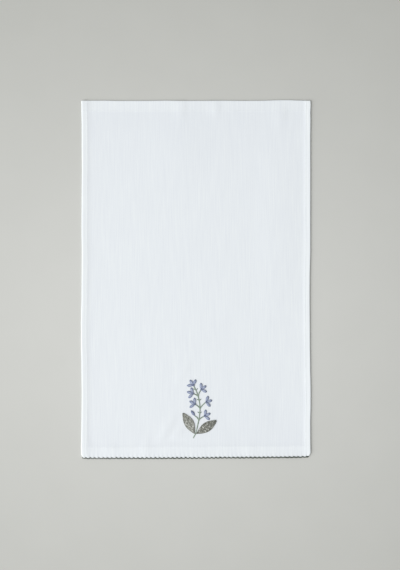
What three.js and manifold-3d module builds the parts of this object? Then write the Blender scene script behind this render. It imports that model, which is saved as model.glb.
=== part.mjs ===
// A white cotton tea towel lying flat, face up: one sheet with turned hems on its four sides, a lower edge
// drawn into small scallops by an overcast run of dark green thread, and a flowering sprig embroidered in
// raised stitches above the lower hem. Millimetres, +Z up, +Y towards the upper hem, +X to the right.

import * as THREE from 'three';
import { mergeVertices } from 'three/addons/utils/BufferGeometryUtils.js';
import Module from 'manifold-3d';

const wasm = await Module();
wasm.setup();

// Driving dimensions of the towel
const towelWidth = 449;
const towelLength = 701; // the overcast edging is included
const clothThickness = 1.1;
const hemRise = 0.6; // the turned layers lift a hem's face by this much
const cornerPress = 0.3; // where two hems cross they press flatter than their sum by this much
const leftHem = 12;
const rightHem = 10.8;
const upperHem = 21.8;
const lowerHem = 23;
const hemFall = 8; // past the hem the face falls to the open cloth over this width
const foldReach = 2; // a folded edge is round over this width
const foldDrop = 0.4; // at the fold the face drops by this share of the thickness
const foldRise = 0.25; // and the back rises by this share
const lowerCorner = 4; // radius of the two lower corners
const upperCorner = 2;
const pieceGap = 0.3; // free space between neighbouring pieces

// Driving dimensions of the scallops and their thread
const scallopCount = 53;
const scallopDepth = 1.3;
const scallopLowest = 0.62; // a scallop leans: it hangs lowest at this share of its width
const scallopSteps = 5;
const edgingWidth = 1.8;
const edgingHeight = 1.8;
const edgingSway = 0.3; // the thread's lower side rises by this much at a notch
const edgingEndInset = 3.5; // the thread stops short of the cloth's two corners

// Driving dimensions of the sprig, measured from the point where its leaves meet
const sprigBase = { x: -0.2, y: -300.9 };
const stemHeight = 92;
const stemSway = 8; // the stem bows to the right by this much half way up
const stemTipLean = 4; // and its tip leans back to the left
const tail = { x: -5.5, y: -9.8 }; // the cut end of the stem, below the leaves
const stemStitch = { width: 2, height: 1 };
const branchBow = 0.9; // a branch bows this far towards the stem's tip
const petal = {
  length: 14.4,
  width: 5.4,
  widestAt: 0.62,
  fullness: 0.9,
  rim: 0.4,
  crown: 1.1,
  steps: [6, 2],
};
const petalRoot = 1.4; // the petals of a floret cross behind its middle by this much
const bud = {
  length: 13.6,
  width: 5.2,
  widestAt: 0.52,
  fullness: 0.9,
  rim: 0.4,
  crown: 1.2,
  steps: [7, 2],
};
const leaf = {
  length: 46,
  width: 18,
  widestAt: 0.5,
  fullness: 1,
  rim: 0.5,
  crown: 1.2,
  steps: [10, 4],
};
const petalFan = [40, -15, -76]; // degrees from a floret's outward direction towards the stem's tip
const bracts = { heights: [38.5, 63.5, 84], reach: 5.6, lean: 50 }; // pairs of short stitches up the stem
const sprigFloor = clothThickness + pieceGap;

// How far each edge of the cloth lies inside the full rectangle. The side edges run from the lower edge to
// the upper one, and the end edges from left to right; "at" is the share of the way.
const edgeInset = {
  left: [
    { at: 0, inset: 0.3 },
    { at: 0.018, inset: 0.25 },
    { at: 0.031, inset: 0 },
    { at: 0.044, inset: 0.5 },
    { at: 0.1, inset: 1 },
    { at: 0.17, inset: 1.5 },
    { at: 0.27, inset: 0.9 },
    { at: 0.32, inset: 0 },
    { at: 0.37, inset: 0 },
    { at: 0.46, inset: 1.2 },
    { at: 0.57, inset: 1.6 },
    { at: 0.64, inset: 1.05 },
    { at: 0.72, inset: 1.35 },
    { at: 0.81, inset: 1.75 },
    { at: 0.88, inset: 1.4 },
    { at: 0.935, inset: 1.35 },
    { at: 0.97, inset: 0.8 },
    { at: 0.99, inset: 0.75 },
    { at: 1, inset: 0.3 },
  ],
  right: [
    { at: 0, inset: 0.2 },
    { at: 0.045, inset: 0.6 },
    { at: 0.095, inset: 0.75 },
    { at: 0.14, inset: 0 },
    { at: 0.185, inset: 0 },
    { at: 0.25, inset: 0.85 },
    { at: 0.32, inset: 1.5 },
    { at: 0.45, inset: 1.95 },
    { at: 0.5, inset: 1.8 },
    { at: 0.58, inset: 0.65 },
    { at: 0.7, inset: 0.72 },
    { at: 0.78, inset: 0.6 },
    { at: 0.89, inset: 0.75 },
    { at: 0.945, inset: 0.36 },
    { at: 0.966, inset: 0.6 },
    { at: 0.986, inset: 0 },
    { at: 1, inset: 0.25 },
  ],
  lower: [
    { at: 0, inset: 4 },
    { at: 0.007, inset: 1.6 },
    { at: 0.02, inset: 0 },
    { at: 0.55, inset: 0 },
    { at: 0.605, inset: 0.75 },
    { at: 0.66, inset: 0.7 },
    { at: 0.72, inset: 0.8 },
    { at: 0.78, inset: 1.1 },
    { at: 0.84, inset: 1.5 },
    { at: 0.9, inset: 1.65 },
    { at: 0.95, inset: 2.1 },
    { at: 0.982, inset: 2.9 },
    { at: 1, inset: 6.2 },
  ],
  upper: [
    { at: 0, inset: 1.1 },
    { at: 0.04, inset: 1 },
    { at: 0.1, inset: 0.95 },
    { at: 0.16, inset: 1.4 },
    { at: 0.27, inset: 1.4 },
    { at: 0.37, inset: 0.95 },
    { at: 0.44, inset: 1.4 },
    { at: 0.53, inset: 1.25 },
    { at: 0.61, inset: 1 },
    { at: 0.7, inset: 1.3 },
    { at: 0.78, inset: 1.15 },
    { at: 0.875, inset: 0 },
    { at: 0.905, inset: 0 },
    { at: 0.95, inset: 0.7 },
    { at: 1, inset: 1.2 },
  ],
};

// Soft ridges where the cloth stands off the table. Each has its middle, the turn of its crest from +X in
// degrees, its length and width, its rise, and how far its crest leans towards its right-hand foot.
const ridges = [
  { x: -61.5, y: -292, turn: 55, long: 76, wide: 30, rise: 0.7, lean: 0.2 }, // at the foot of the embroidery
  { x: -38.5, y: -306.2, turn: 38, long: 36, wide: 20, rise: 0.45, lean: -0.2 },
  { x: -27, y: -181, turn: 55, long: 75, wide: 26, rise: 0.42, lean: 0.2 }, // beside its tip
  { x: 115, y: -258, turn: 95, long: 150, wide: 100, rise: 0.4, lean: 0 },
  { x: 160, y: 90, turn: 88, long: 580, wide: 114, rise: 0.65, lean: 0 }, // along the right hem
  { x: -40, y: 270, turn: 86, long: 240, wide: 150, rise: 0.5, lean: 0 },
  { x: 75, y: -50, turn: 37, long: 170, wide: 40, rise: 0.2, lean: 0 },
  { x: 98, y: -180, turn: 41, long: 90, wide: 30, rise: 0.12, lean: 0 },
  { x: -37, y: 335, turn: 88, long: 62, wide: 45, rise: 0.55, lean: 0.44 }, // puckers of the upper hem
  { x: 33, y: 337, turn: 90, long: 50, wide: 38, rise: 0.5, lean: 0.25 },
  { x: 156, y: 322, turn: 84, long: 66, wide: 52, rise: 0.5, lean: 0.4 },
  { x: -168, y: -334, turn: 92, long: 54, wide: 38, rise: 0.3, lean: 0 }, // puckers of the lower hem
  { x: -98, y: -333, turn: 84, long: 60, wide: 34, rise: 0.4, lean: 0 },
  { x: 107, y: -334, turn: 95, long: 56, wide: 38, rise: 0.2, lean: 0 },
];

// Side branches of the sprig, each with its height up the stem, its side, how far it leans from upright in
// degrees, its length, and how far its bloom turns from it towards the stem's tip. The first carries the bud,
// and the others a floret each; the last floret sits on the stem's own tip.
const branches = [
  { height: 25.5, side: -1, lean: 41, reach: 10.5, turn: 6 },
  { height: 25.5, side: 1, lean: 54, reach: 12.4, turn: 3 },
  { height: 48, side: -1, lean: 46, reach: 11, turn: 0 },
  { height: 48, side: 1, lean: 42, reach: 16, turn: -19 },
  { height: 71.5, side: -1, lean: 58, reach: 9.5, turn: 0 },
  { height: 71.5, side: 1, lean: 22, reach: 13.5, turn: -18 },
  { height: stemHeight, side: -1, lean: 26, reach: 0, turn: 9 },
];

// The two leaves, each with its side, its rise from level in degrees, how far its root lies beside the stem's
// foot, and how far its middle bows towards its lower edge
const leaves = [
  { name: 'leaf_left', side: -1, rise: 60.5, aside: 2.7, bow: -0.8 },
  { name: 'leaf_right', side: 1, rise: 33.5, aside: 2.2, bow: 0.2 },
];

const { clamp, lerp, smoothstep, degToRad } = THREE.MathUtils;

// An edge's inset at a share of the way along it: it eases from each row of the table to the next
function insetAt(rows, share) {
  const next = Math.max(1, rows.findIndex((row) => row.at >= share));
  const [from, to] = [rows[next - 1], rows[next]];
  return lerp(from.inset, to.inset, smoothstep(share, from.at, to.at));
}

const lowerEdgeAt = (share) => insetAt(edgeInset.lower, share) - towelLength / 2;
const clothFoot = edgingWidth + 0.4; // the cloth ends this far above the outer side of its edging

// Where a point of the flat cloth lies in plan: u runs from the left edge to the right, v from low to high
function planPoint(u, v) {
  const left = insetAt(edgeInset.left, v) - towelWidth / 2;
  const right = towelWidth / 2 - insetAt(edgeInset.right, v);
  const low = lowerEdgeAt(u) + clothFoot;
  const high = towelLength / 2 - insetAt(edgeInset.upper, u);
  return roundedCorner(left, right, low, high, u, v);
}

// Near a corner the square rings of the grid become round ones
function roundedCorner(left, right, low, high, u, v) {
  const x = lerp(left, right, u);
  const y = lerp(low, high, v);
  const inX = Math.min(x - left, right - x);
  const inY = Math.min(y - low, high - y);
  const radius = v < 0.5 ? lowerCorner : upperCorner;
  const deepX = radius - inX;
  const deepY = radius - inY;
  if (deepX <= 0 || deepY <= 0) return { x, y };
  const shrink = 1 - Math.max(deepX, deepY) / Math.hypot(deepX, deepY);
  const towardsX = u < 0.5 ? 1 : -1;
  const towardsY = v < 0.5 ? 1 : -1;
  return { x: x + towardsX * deepX * shrink, y: y + towardsY * deepY * shrink };
}

// How far the cloth stands off the table: each ridge is a smooth bump with a clean foot, measured across from
// a crest that may lean to one side
function liftAt(x, y) {
  return ridges.reduce((lift, ridge) => {
    const turn = degToRad(ridge.turn);
    const along = ((x - ridge.x) * Math.cos(turn) + (y - ridge.y) * Math.sin(turn)) / (ridge.long / 2);
    const aside = ((y - ridge.y) * Math.cos(turn) - (x - ridge.x) * Math.sin(turn)) / (ridge.wide / 2);
    const upright = clamp(aside, -1, 1);
    const across = upright + ridge.lean * (1 - upright * upright);
    const inside = Math.max(0, 1 - along * along - across * across);
    return lift + ridge.rise * inside * inside;
  }, 0);
}

// The share of a hem at a distance from its folded edge: 1 on the hem, 0 on the open cloth
const hemShare = (distance, width) => 1 - smoothstep(distance, width, width + hemFall);

// Thickness of the cloth with the layers turned under its hems
function thicknessAt(u, v) {
  const side = Math.max(hemShare(u * towelWidth, leftHem), hemShare((1 - u) * towelWidth, rightHem));
  const end = Math.max(hemShare((1 - v) * towelLength, upperHem), hemShare(v * towelLength, lowerHem));
  return clothThickness + hemRise * (side + end) - cornerPress * side * end;
}

// How much a folded edge closes at a point: 1 at the fold itself, 0 past its round. The lower edge is left
// square, because the scallops are cut into it.
function foldClosing(u, v) {
  const distance = Math.min(u * towelWidth, (1 - u) * towelWidth, (1 - v) * towelLength);
  const share = Math.max(0, 1 - distance / foldReach);
  return share * share;
}

const facePoint = (u, v) => {
  const { x, y } = planPoint(u, v);
  const height = thicknessAt(u, v) * (1 - foldDrop * foldClosing(u, v));
  return [x, y, liftAt(x, y) + height];
};

const backPoint = (u, v) => {
  const { x, y } = planPoint(u, v);
  const height = thicknessAt(u, v) * foldRise * foldClosing(u, v);
  return [x, y, liftAt(x, y) + height];
};

// Grid lines across a span: close together on the fold and the hem at each end, evenly spaced between
function gridLines(span, startLines, endLines, step) {
  const from = startLines.at(-1);
  const to = span - endLines.at(-1);
  const count = Math.round((to - from) / step);
  const middle = Array.from({ length: count - 1 }, (_, i) => lerp(from, to, (i + 1) / count));
  const end = endLines.map((distance) => span - distance).reverse();
  return [...startLines, ...middle, ...end].map((distance) => distance / span);
}

const widthStep = 12; // spacing of the grid lines on the open cloth
const lengthStep = 30;
const creaseStep = 10; // spacing beside the embroidery, where the sharper creases lie
const creaseRows = 17;
const foldLines = [0, 0.25 * foldReach, foldReach];
const cornerLines = [5, 8.5]; // the lower edge turns up towards the corners here
const hemEnd = (width) => [width, width + hemFall];

// A closed solid between two grids of points over the same lines
function slab(us, vs, upper, lower) {
  const positions = [];
  for (const point of [upper, lower]) {
    for (const u of us) {
      for (const v of vs) positions.push(...point(u, v));
    }
  }
  const top = (i, j) => i * vs.length + j;
  const low = (i, j) => us.length * vs.length + top(i, j);
  const index = [];
  const quad = (a, b, c, d) => index.push(a, b, c, a, c, d);
  const lastU = us.length - 1;
  const lastV = vs.length - 1;
  for (let i = 0; i < lastU; i++) {
    for (let j = 0; j < lastV; j++) {
      quad(top(i, j), top(i + 1, j), top(i + 1, j + 1), top(i, j + 1));
      quad(low(i, j), low(i, j + 1), low(i + 1, j + 1), low(i + 1, j));
    }
    quad(low(i, 0), low(i + 1, 0), top(i + 1, 0), top(i, 0));
    quad(low(i + 1, lastV), low(i, lastV), top(i, lastV), top(i + 1, lastV));
  }
  for (let j = 0; j < lastV; j++) {
    quad(low(lastU, j), low(lastU, j + 1), top(lastU, j + 1), top(lastU, j));
    quad(low(0, j + 1), low(0, j), top(0, j), top(0, j + 1));
  }
  const geometry = new THREE.BufferGeometry();
  geometry.setAttribute('position', new THREE.Float32BufferAttribute(positions, 3));
  geometry.setIndex(index);
  return geometry;
}

// A closed bar through a row of rings that all have the same number of points
function barThrough(rings) {
  const sides = rings[0].length;
  const index = [];
  for (let i = 0; i < rings.length - 1; i++) {
    for (let j = 0; j < sides; j++) {
      const [a, b] = [i * sides + j, i * sides + ((j + 1) % sides)];
      index.push(a, b, b + sides, a, b + sides, a + sides);
    }
  }
  const last = (rings.length - 1) * sides;
  for (let j = 1; j < sides - 1; j++) {
    index.push(0, j + 1, j, last, last + j, last + j + 1);
  }
  const geometry = new THREE.BufferGeometry();
  geometry.setAttribute('position', new THREE.Float32BufferAttribute(rings.flat(2), 3));
  geometry.setIndex(index);
  return geometry;
}

function solidFrom(geometry) {
  const bare = geometry.clone();
  bare.deleteAttribute('normal');
  bare.deleteAttribute('uv');
  const merged = mergeVertices(bare);
  const vertProperties = merged.attributes.position.array;
  const triVerts = new Uint32Array(merged.index.array);
  return new wasm.Manifold(new wasm.Mesh({ numProp: 3, vertProperties, triVerts }));
}

function geometryFrom(solid) {
  const { vertProperties, triVerts } = solid.getMesh();
  const geometry = new THREE.BufferGeometry();
  geometry.setAttribute('position', new THREE.BufferAttribute(vertProperties, 3));
  geometry.setIndex(new THREE.BufferAttribute(triVerts, 1));
  return geometry;
}

const joined = (geometries) => geometryFrom(geometries.map(solidFrom).reduce((all, one) => all.add(one)));

// The scalloped line along the lower edge, as plan points. Each scallop is half a sine wave that hangs from
// the notches beside it, and "notch" is 1 at a notch and 0 where the scallop hangs lowest.
function scallopLine() {
  const count = scallopCount * scallopSteps;
  const bend = Math.log(0.5) / Math.log(scallopLowest);
  const left = edgeInset.left[0].inset - towelWidth / 2;
  const right = towelWidth / 2 - edgeInset.right[0].inset;
  return Array.from({ length: count + 1 }, (_, i) => {
    const within = (i % scallopSteps) / scallopSteps;
    const notch = 1 - Math.sin(Math.PI * within ** bend);
    return { x: lerp(left, right, i / count), y: lowerEdgeAt(i / count), notch };
  });
}

// The cloth: a slab of its face and back, with the scallops cut along its lower edge
function makeCloth() {
  const leftLines = [...foldLines, ...cornerLines, ...hemEnd(leftHem)];
  const rightLines = [...foldLines, ...cornerLines, ...hemEnd(rightHem)];
  const creaseFrom = lowerHem + hemFall;
  const creaseLines = Array.from({ length: creaseRows }, (_, i) => creaseFrom + creaseStep * (i + 1));
  const lowerLines = [0, lowerCorner + foldReach, lowerHem / 2, ...hemEnd(lowerHem), ...creaseLines];
  const upperLines = [...foldLines, upperHem / 3, ...hemEnd(upperHem)];
  const us = gridLines(towelWidth, leftLines, rightLines, widthStep);
  const vs = gridLines(towelLength, lowerLines, upperLines, lengthStep);
  const beyond = 10; // the cutter runs past the cloth by this much
  const cut = ({ x, y, notch }) => new THREE.Vector2(x, y + clothFoot + scallopDepth * notch);
  const line = scallopLine().map(cut);
  const first = line[0];
  const last = line.at(-1);
  const outline = new THREE.Shape([
    new THREE.Vector2(last.x + beyond, last.y),
    new THREE.Vector2(last.x + beyond, -towelLength / 2 - beyond),
    new THREE.Vector2(first.x - beyond, -towelLength / 2 - beyond),
    new THREE.Vector2(first.x - beyond, first.y),
    ...line,
  ]);
  const cutter = new THREE.ExtrudeGeometry(outline, { depth: 2 * beyond, bevelEnabled: false });
  cutter.translate(0, 0, -beyond);
  const sheet = slab(us, vs, facePoint, backPoint);
  return geometryFrom(solidFrom(sheet).subtract(solidFrom(cutter)));
}

// The overcast edging: a flattened round of thread carried along the lower edge, wider at the notches
function makeEdging() {
  const sides = 6;
  const line = scallopLine().filter(({ x }) => Math.abs(x) < towelWidth / 2 - edgingEndInset);
  const rings = line.map(({ x, y, notch }) => {
    const low = y + edgingSway * notch;
    const high = y + edgingWidth + scallopDepth * notch;
    const lift = liftAt(x, y);
    return Array.from({ length: sides }, (_, k) => {
      const turn = (2 * Math.PI * (k + 0.5)) / sides;
      const across = 0.5 + Math.cos(turn) / (2 * Math.cos(Math.PI / sides));
      return [x, lerp(low, high, across), lift + (edgingHeight / 2) * (1 + Math.sin(turn))];
    });
  });
  return barThrough(rings);
}

// A point of the stem's curve at a height above the leaves
function stemAt(height) {
  const share = height / stemHeight;
  const x = stemSway * Math.sin(Math.PI * share ** 1.1) - stemTipLean * share ** 5;
  return { x: sprigBase.x + x, y: sprigBase.y + height };
}

const step = (from, angle, reach) => ({
  x: from.x + reach * Math.cos(angle),
  y: from.y + reach * Math.sin(angle),
});

// A run of stem stitches through plan points: a flattened round bar that lies on the cloth
function stitchRun(points) {
  const middle = sprigFloor + stemStitch.height / 2;
  const path = new THREE.CatmullRomCurve3(points.map(({ x, y }) => new THREE.Vector3(x, y, middle)));
  const section = new THREE.Shape();
  const sides = 6;
  for (let k = 0; k < sides; k++) {
    const turn = (2 * Math.PI * k) / sides;
    const corner = [(stemStitch.height / 2) * Math.cos(turn), (stemStitch.width / 2) * Math.sin(turn)];
    if (k === 0) section.moveTo(...corner);
    else section.lineTo(...corner);
  }
  const steps = points.length > 2 ? 2 * (points.length - 1) : 1;
  return new THREE.ExtrudeGeometry(section, { steps, extrudePath: path, bevelEnabled: false });
}

// A petal, bud or leaf: a crowned blade on the cloth, from its root along an angle. Its width swells to the
// share of its length that "widestAt" gives, and a little is left at both tips. Its middle line bows to the
// left of the angle.
function blade(root, angle, size, bow = 0) {
  const blunt = 0.05;
  const [lengthSteps, widthSteps] = size.steps;
  const us = Array.from({ length: lengthSteps + 1 }, (_, i) => i / lengthSteps);
  const vs = Array.from({ length: widthSteps + 1 }, (_, j) => (2 * j) / widthSteps - 1);
  const bend = Math.log(0.5) / Math.log(size.widestAt);
  const swell = (u) => blunt + (1 - blunt) * Math.abs(Math.sin(Math.PI * u ** bend)) ** size.fullness;
  const point = (u, v, height) => {
    const along = step(root, angle, u * size.length);
    const aside = (v * swell(u) * size.width) / 2 + bow * Math.sin(Math.PI * u);
    const { x, y } = step(along, angle + Math.PI / 2, aside);
    return [x, y, sprigFloor + height];
  };
  const crown = (u, v) => lerp(size.rim, size.crown, swell(u) * (1 - v * v));
  return slab(us, vs, (u, v) => point(u, v, crown(u, v)), (u, v) => point(u, v, 0));
}

// Where a branch leaves the stem, the angle it takes, where it ends, and the angle of its bloom
function branchRun({ height, side, lean, reach, turn }) {
  const from = stemAt(height);
  const angle = degToRad(90 - side * lean);
  return { from, angle, side, to: step(from, angle, reach), bloom: angle + side * degToRad(turn) };
}

// The stem with its tail, its branches and its paired bracts, as one run of stitches
function makeStem() {
  const count = 9;
  const curve = Array.from({ length: count }, (_, i) => stemAt((stemHeight * i) / (count - 1)));
  const tailEnd = { x: sprigBase.x + tail.x, y: sprigBase.y + tail.y };
  const runs = [[tailEnd, ...curve]];
  for (const branch of branches.filter(({ reach }) => reach > 0)) {
    const { from, angle, side, to } = branchRun(branch);
    const half = step(from, angle, branch.reach / 2);
    runs.push([from, step(half, angle + (side * Math.PI) / 2, branchBow), to]);
  }
  for (const height of bracts.heights) {
    for (const side of [-1, 1]) {
      const from = stemAt(height);
      runs.push([from, step(from, degToRad(90 - side * bracts.lean), bracts.reach)]);
    }
  }
  return joined(runs.map(stitchRun));
}

// A floret: three petals fanned about its own direction, joined at their roots
function makeFloret(branch) {
  const { to, angle, side, bloom } = branchRun(branch);
  const middle = step(to, angle, 2 * pieceGap + petalRoot);
  const petals = petalFan.map((fan) => {
    const turn = bloom + side * degToRad(fan);
    return blade(step(middle, turn, -petalRoot), turn, petal);
  });
  return joined(petals);
}

function makeBud(branch) {
  const { to, angle, bloom } = branchRun(branch);
  return blade(step(to, angle, 2 * pieceGap), bloom, bud);
}

// A leaf starts clear of the stem on its own side
function makeLeaf({ side, rise, aside, bow }) {
  const angle = degToRad(side > 0 ? rise : 180 - rise);
  const root = { x: sprigBase.x + side * aside, y: sprigBase.y - pieceGap };
  return blade(root, angle, leaf, -side * bow);
}

// Colours and roughness of the cloth and the threads
const cotton = { color: '#eef2f5', roughness: 0.92 };
const edgingThread = { color: '#5d665d', roughness: 0.6 };
const stemThread = { color: '#8c9c8b', roughness: 0.55 };
const leafThread = { color: '#84867c', roughness: 0.55 };
const petalThread = { color: '#7f88b0', roughness: 0.5 };

const teaTowel = new THREE.Group();

function add(name, geometry, finish) {
  geometry.computeVertexNormals();
  const material = new THREE.MeshStandardMaterial({ ...finish, metalness: 0 });
  const mesh = new THREE.Mesh(geometry, material);
  mesh.name = name;
  teaTowel.add(mesh);
}

add('cloth', makeCloth(), cotton);
add('edging', makeEdging(), edgingThread);
add('sprig_stem', makeStem(), stemThread);
leaves.forEach((row) => add(`sprig_${row.name}`, makeLeaf(row), leafThread));
const [budBranch, ...floretBranches] = branches; // the lowest branch on the left carries the bud
add('sprig_bud', makeBud(budBranch), petalThread);
floretBranches.forEach((branch, i) => add(`sprig_floret_${i + 1}`, makeFloret(branch), petalThread));

export default teaTowel;
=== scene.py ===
# A white cotton tea towel laid flat and seen from straight above: slubbed cloth with turned hems, a lower
# edge overcast in dark green thread, and a flowering sprig worked in raised stitches.
# The dictionaries hold millimetres and degrees; buildPiece turns millimetres to metres.

import bpy
import numpy as np
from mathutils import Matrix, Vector


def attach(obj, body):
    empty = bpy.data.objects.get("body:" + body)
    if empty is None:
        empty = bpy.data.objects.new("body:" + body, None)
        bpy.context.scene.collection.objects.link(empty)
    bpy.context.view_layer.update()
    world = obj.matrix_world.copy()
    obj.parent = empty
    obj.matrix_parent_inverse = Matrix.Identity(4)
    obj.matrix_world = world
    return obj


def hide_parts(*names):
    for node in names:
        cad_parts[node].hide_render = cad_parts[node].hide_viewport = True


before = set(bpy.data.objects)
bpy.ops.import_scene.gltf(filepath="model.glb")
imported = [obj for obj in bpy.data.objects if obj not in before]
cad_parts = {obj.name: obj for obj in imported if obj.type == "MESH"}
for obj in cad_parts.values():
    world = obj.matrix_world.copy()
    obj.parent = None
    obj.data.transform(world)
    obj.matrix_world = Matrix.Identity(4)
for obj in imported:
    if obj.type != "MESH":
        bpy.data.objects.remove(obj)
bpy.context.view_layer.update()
scene = bpy.context.scene
mm = 0.001
print("frame:", len(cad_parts), "solids to dress")


# Shared shapes

def ease(value, low, high):
    # 0 below low, 1 above high, and a smooth S between them
    share = np.clip((value - low) / (high - low), 0, 1)
    return share * share * (3 - 2 * share)


def between(ends, share):
    # straight from the first end to the second
    return ends[0] + (ends[1] - ends[0]) * share


def tableAt(rows, share):
    # eases from each row of a table, a share of the way and its value, to the next row
    at, value = np.array(rows, float).T
    row = np.clip(np.searchsorted(at, share, side="right") - 1, 0, len(at) - 2)
    return value[row] + (value[row + 1] - value[row]) * ease(share, at[row], at[row + 1])


def heading(angle):
    # a step of length one, turned from the x axis
    return np.array([np.cos(np.radians(angle)), np.sin(np.radians(angle))])


def curveThrough(knots, steps):
    # a smooth curve through knots: each stretch is the cubic whose end slopes are half the way between the
    # knots on either side
    knots = np.array(knots, float)
    padded = np.vstack([2 * knots[0] - knots[1], knots, 2 * knots[-1] - knots[-2]])
    place = np.linspace(0, len(knots) - 1, steps)
    row = np.minimum(place.astype(int), len(knots) - 2)
    t = (place - row)[:, None]
    a, b, c, d = (padded[row + k] for k in range(4))
    return b + 0.5 * t * (c - a + t * (2 * a - 5 * b + 4 * c - d + t * (3 * (b - c) + d - a)))


def closeSheet(face, back):
    # two grids of points over the same lines, sharing their rim, as one closed surface
    rows, columns = face.shape[:2]
    top = np.arange(rows * columns).reshape(rows, columns)
    low = top.copy()
    low[1:-1, 1:-1] = rows * columns + np.arange((rows - 2) * (columns - 2)).reshape(rows - 2, columns - 2)
    points = np.vstack([face.reshape(-1, 3), back[1:-1, 1:-1].reshape(-1, 3)])
    upper, lower = (np.stack([grid[:-1, :-1], grid[:-1, 1:], grid[1:, 1:], grid[1:, :-1]], -1).reshape(-1, 4)
                    for grid in (top, low))
    return points, np.vstack([upper, lower[:, ::-1]])


def threadTubes(paths, width, height, shade, sides=6, strands=6, twist=14.0, ply=0.0):
    # paths is stitches x steps x 3: an oval section is carried along each path, wide across it and low above
    # it, narrowing at both ends, and ply raises lobes that wind round it once in a twist's length
    count, steps = paths.shape[:2]
    ahead = np.gradient(paths, axis=1)
    ahead /= np.linalg.norm(ahead, axis=2, keepdims=True)
    across = np.cross((0.0, 0.0, 1.0), ahead)
    across /= np.linalg.norm(across, axis=2, keepdims=True)
    above = np.cross(ahead, across)
    run = np.zeros((count, steps))
    run[:, 1:] = np.cumsum(np.linalg.norm(np.diff(paths, axis=1), axis=2), axis=1)
    share = np.arange(sides) / sides
    turn = 2 * np.pi * share - np.pi / 2  # starts underneath, where the join of the pattern is hidden
    taper = np.sqrt(np.clip(1 - np.abs(np.linspace(-1, 1, steps)) ** 6, 0.1, 1))
    lobes = 1 + ply * np.cos(strands * (turn - 2 * np.pi * run[:, :, None] / twist))
    wide = (np.broadcast_to(width, (count, steps)) * taper / 2)[:, :, None] * lobes * np.cos(turn)
    tall = (np.broadcast_to(height, (count, steps)) * taper / 2)[:, :, None] * lobes * np.sin(turn)
    points = paths[:, :, None] + wide[..., None] * across[:, :, None] + tall[..., None] * above[:, :, None]
    index = np.arange(count * steps * sides).reshape(count, steps, sides)
    after = np.roll(index, -1, axis=2)
    walls = np.stack([index[:, :-1], after[:, :-1], after[:, 1:], index[:, 1:]], -1).reshape(-1, 4)
    fan = np.array([[0, k, k + 1, k + 2] for k in range(1, sides - 1, 2)])
    ends = np.vstack([index[:, 0][:, fan[:, ::-1]].reshape(-1, 4), index[:, -1][:, fan].reshape(-1, 4)])
    strand = np.zeros((count, steps, sides, 3))
    strand[..., 0] = -run[:, :, None] / twist
    strand[..., 1] = share
    tone = np.broadcast_to(np.reshape(shade, (count, -1, 1)), (count, steps, sides))
    return {
        "points": points.reshape(-1, 3),
        "quads": np.vstack([walls, ends]),
        "shade": tone.reshape(-1),
        # a diagonal band pattern has one wave in a tenth of a turn
        "strand": strand.reshape(-1, 3) * strands * 2 * np.pi / 10,
    }


def joinParts(parts):
    # several meshes as one, with their marks
    starts = np.cumsum([0] + [len(part["points"]) for part in parts[:-1]])
    joined = {key: np.concatenate([part[key] for part in parts]) for key in ("points", "shade", "strand")}
    joined["quads"] = np.vstack([part["quads"] + start for part, start in zip(parts, starts)])
    return joined


def buildPiece(name, points, quads, material, marks):
    # one mesh of four-sided faces at its place, in metres; marks are values or vectors kept at its points
    mesh = bpy.data.meshes.new(name)
    mesh.vertices.add(len(points))
    mesh.vertices.foreach_set("co", (points * mm).ravel())
    mesh.loops.add(quads.size)
    mesh.loops.foreach_set("vertex_index", quads.ravel().astype(np.int32))
    mesh.polygons.add(len(quads))
    mesh.polygons.foreach_set("loop_start", np.arange(0, quads.size, 4, dtype=np.int32))
    mesh.polygons.foreach_set("use_smooth", np.ones(len(quads), bool))
    mesh.update(calc_edges=True)
    for key, values in marks.items():
        vector = values.ndim == 2
        mark = mesh.attributes.new(key, "FLOAT_VECTOR" if vector else "FLOAT", "POINT")
        mark.data.foreach_set("vector" if vector else "value", values.astype(np.float32).ravel())
    mesh.materials.append(material)
    piece = bpy.data.objects.new(name, mesh)
    scene.collection.objects.link(piece)
    return piece


def dress(piece, node=None):
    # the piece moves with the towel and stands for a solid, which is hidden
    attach(piece, "root")
    if node:
        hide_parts(node)


def threadPiece(name, parts, material, node=None):
    # stitches and underlays as one dressed piece
    joined = joinParts(parts)
    marks = {key: joined[key] for key in ("shade", "strand")}
    piece = buildPiece(name, joined["points"], joined["quads"], material, marks)
    dress(piece, node)
    print(name + ":", len(joined["quads"]), "faces")
    return piece


# Materials

def linear(tone):
    # an sRGB hex value as linear light
    value = np.array([int(tone[k:k + 2], 16) for k in (1, 3, 5)]) / 255
    light = np.where(value <= 0.04045, value / 12.92, ((value + 0.055) / 1.055) ** 2.4)
    return (*light, 1.0)


def addNode(tree, kind, settings=(), links=()):
    # settings go to the node's property of that name, or else to its socket; links feed a socket
    node = tree.nodes.new(kind)
    for key, value in dict(settings).items():
        if key == "ramp":
            elements = node.color_ramp.elements
            for element, (place, tone) in zip(elements, (value[0], value[-1])):
                element.position = place
                element.color = linear(tone)
            for place, tone in value[1:-1]:
                elements.new(place).color = linear(tone)
        elif isinstance(key, str) and hasattr(node, key):
            setattr(node, key, value)
        else:
            node.inputs[key].default_value = value
    for key, output in dict(links).items():
        tree.links.new(output, node.inputs[key])
    return node


def newMaterial(name, finish):
    # a material with one plain shader of this finish
    material = bpy.data.materials.new(name)
    material.use_nodes = True
    tree = material.node_tree
    tree.nodes.clear()
    shader = addNode(tree, "ShaderNodeBsdfPrincipled", finish)
    addNode(tree, "ShaderNodeOutputMaterial", {}, {"Surface": shader.outputs["BSDF"]})
    return material, tree, shader


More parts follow.
